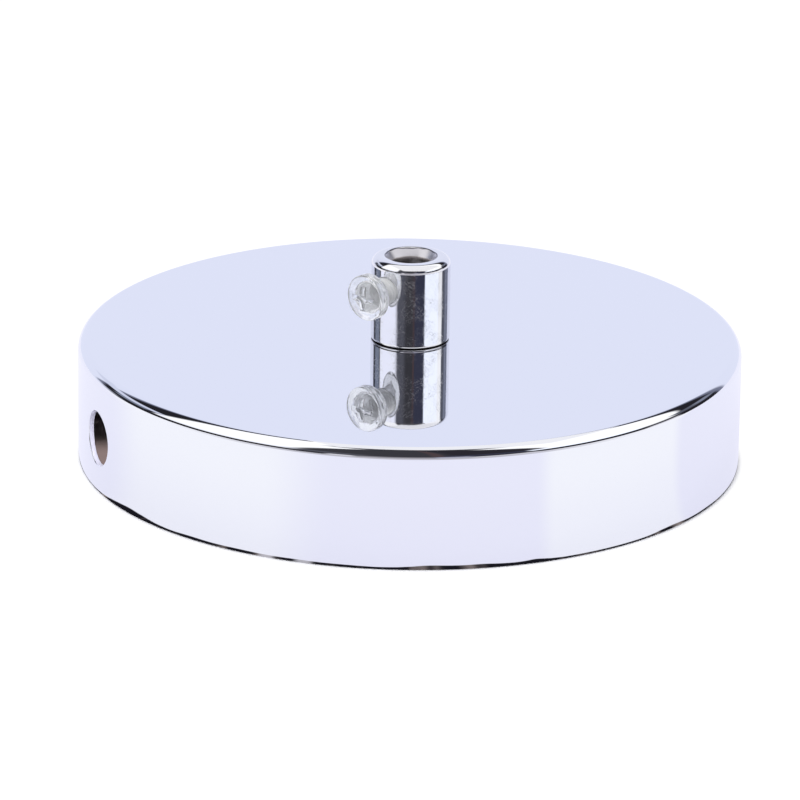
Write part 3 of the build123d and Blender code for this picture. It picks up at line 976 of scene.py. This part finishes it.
# %% Clear plastic
clear_plastic, tree = new_material("clear_moulded_polycarbonate")
place = node(tree, "TexCoord").outputs["Object"]
flow = node(tree, "TexNoise", {"Vector": place, "Scale": 1 / (1.6 * mm), "Detail": 1.0})
along_screw = {0: place, 1: screw_axis.tolist()}
along_screw = node(tree, "VectorMath", along_screw, operation="DOT_PRODUCT")
seat_place = grip_radius + screw_exposed
in_head = slopes(tree, along_screw, ((seat_place - 0.3) * mm, (seat_place + 0.1) * mm))
let_through = node(tree, "Math", {0: in_head, 1: 0.31, 2: 0.55}, operation="MULTIPLY_ADD")
roughness = node(tree, "Math", {0: flow, 1: 0.06}, operation="MULTIPLY")
bump = node(tree, "Bump", {"Height": flow, "Strength": 1.0, "Distance": 0.14 * mm})
finish_with(tree, {
    "Base Color": linear("#FDFEFF"), "IOR": 1.5, "Roughness": roughness,
    "Transmission Weight": let_through, "Normal": bump})
clear_screw.data.materials.append(clear_plastic)

# %% [markdown]
# Under the canopy sits the hardware that nobody sees once the light hangs: a hollow threaded
# nipple, nuts, washers and the strap that is screwed to the ceiling. The CAD's solids have the
# right shape and stay, except the two whose thread is the point. The nipple is lamp tube with an
# M10x1 thread, cut from end to end: its radius is the crest's less the cut, or the chamfer's
# where that is smaller.

# %% Nipple
nipple_low, nipple_high = (corner_point[2] / mm for corner_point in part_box("nipple"))
nipple_radius, nipple_bore, nipple_pitch = 5.0, 4.0, 1.0
nipple_chamfer, bore_chamfer = 0.5, 0.2
turns = np.linspace(0, 2 * np.pi, 96, endpoint=False)
levels = np.linspace(nipple_low, nipple_high, 251)[:, None]
cut = thread_cut(levels, turns, nipple_pitch, 0.58 * nipple_pitch, 1.25, 0.12)
from_end = np.minimum(levels - nipple_low, nipple_high - levels)
chamfered = nipple_radius - np.clip(nipple_chamfer - from_end, 0, None)
outer = np.minimum(nipple_radius - cut, chamfered)
bore_ends = (nipple_high, nipple_high - bore_chamfer, nipple_low + bore_chamfer, nipple_low)
bore_levels = np.array(bore_ends)[:, None]
bore = nipple_bore + np.array([bore_chamfer, 0, 0, bore_chamfer])[:, None] + 0 * turns
radii = np.concatenate([outer, bore])
heights = np.concatenate([levels, bore_levels]) + 0 * turns
nipple_points = np.stack([radii * np.cos(turns), radii * np.sin(turns), heights], axis=2) * mm
nipple_tube = grid_object("threaded_nipple", nipple_points.reshape(-1, 3), [quads(*radii.shape)])
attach(nipple_tube, "canopy_body")
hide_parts("nipple")

# %% [markdown]
# The earth terminal is a brass M4 screw on the strap. It is the same surface as the clear screw,
# with its own sizes, upright in the box that the CAD gives.

# %% Earth screw
earth_low, earth_high = (np.array(corner_point) / mm for corner_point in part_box("earth_screw"))
earth_radius, earth_length, earth_pitch = 2.0, 8.0, 0.7
earth_seat = (earth_low + earth_high) / 2
earth_seat[2] = earth_low[2] + earth_length
earth_terminal_screw = screw_surface(
    "earth_terminal_screw", earth_seat, up, np.array([0.0, 1.0, 0.0]),
    shank=(earth_radius, earth_length, earth_pitch, 0.4),
    head=(3.8, 1.5, 1.0, 0.4), recess=(4.0, 1.0, 1.4, 12.0),
)
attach(earth_terminal_screw, "canopy_body")
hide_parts("earth_screw")
print("earth screw's seat in mm:", np.round(earth_seat, 3).tolist())

# %% [markdown]
# Bright zinc is plated in a barrel, so the parts knock against each other: a silvery skin with
# faint blue and straw clouds from its clear passivation, and many tiny dull dents. The strap was
# rolled as strip before it was bent, so its grain runs along it. Brass is turned and left bare:
# it is warm, a little darker where it was handled, with fine rings round the screw from the tool.

# %% Zinc and brass
def weathered(name, base, cloud, roughness, cloud_size, grain_size, stretch=(1, 1, 1)):
    """A metal whose clouds tint its colour and roughness, and whose stretched grain dents it."""
    made, tree = new_material(name)
    place = node(tree, "TexCoord").outputs["Object"]
    clouds = node(tree, "TexNoise", {"Vector": place, "Scale": 1 / cloud_size, "Detail": 3.0})
    laid = node(tree, "VectorMath", {0: place, 1: stretch}, operation="MULTIPLY")
    grain = node(tree, "TexNoise", {"Vector": laid, "Scale": 1 / grain_size, "Detail": 3.0})
    colour = {0: slopes(tree, clouds, (0.35, 0.65)), 6: linear(base), 7: linear(cloud)}
    colour = node(tree, "Mix", colour, data_type="RGBA")
    dullness = roughness - 0.18
    for noise, share in ((clouds, 0.16), (grain, 0.2)):
        dullness = node(tree, "Math", {0: noise, 1: share, 2: dullness}, operation="MULTIPLY_ADD")
    bump = node(tree, "Bump", {"Height": grain, "Strength": 1.0, "Distance": 0.012 * mm})
    finish_with(tree, {
        "Base Color": colour, "Metallic": 1.0, "Roughness": dullness, "Normal": bump})
    return made


zinc_steel = weathered("bright_zinc_plated_steel", "#CBD0D9", "#D3CFC1", 0.34, 5 * mm, 0.6 * mm)
zinc_strip = weathered(
    "zinc_plated_rolled_strip", "#C7CCD4", "#CFCBBF", 0.38, 9 * mm, 0.5 * mm, stretch=(1, 0.04, 1))
brass = weathered("bare_turned_brass", "#DDB76C", "#C4964C", 0.3, 3 * mm, 0.35 * mm)
other_finishes = {"mounting_strap": zinc_strip, "earth_cup_washer": brass, "earth_screw": brass}
for name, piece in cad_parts.items():
    piece.data.materials.clear()
    piece.data.materials.append(other_finishes.get(name, zinc_steel))
nipple_tube.data.materials.append(zinc_steel)
earth_terminal_screw.data.materials.append(brass)
print("CAD pieces given a finish:", len(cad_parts))
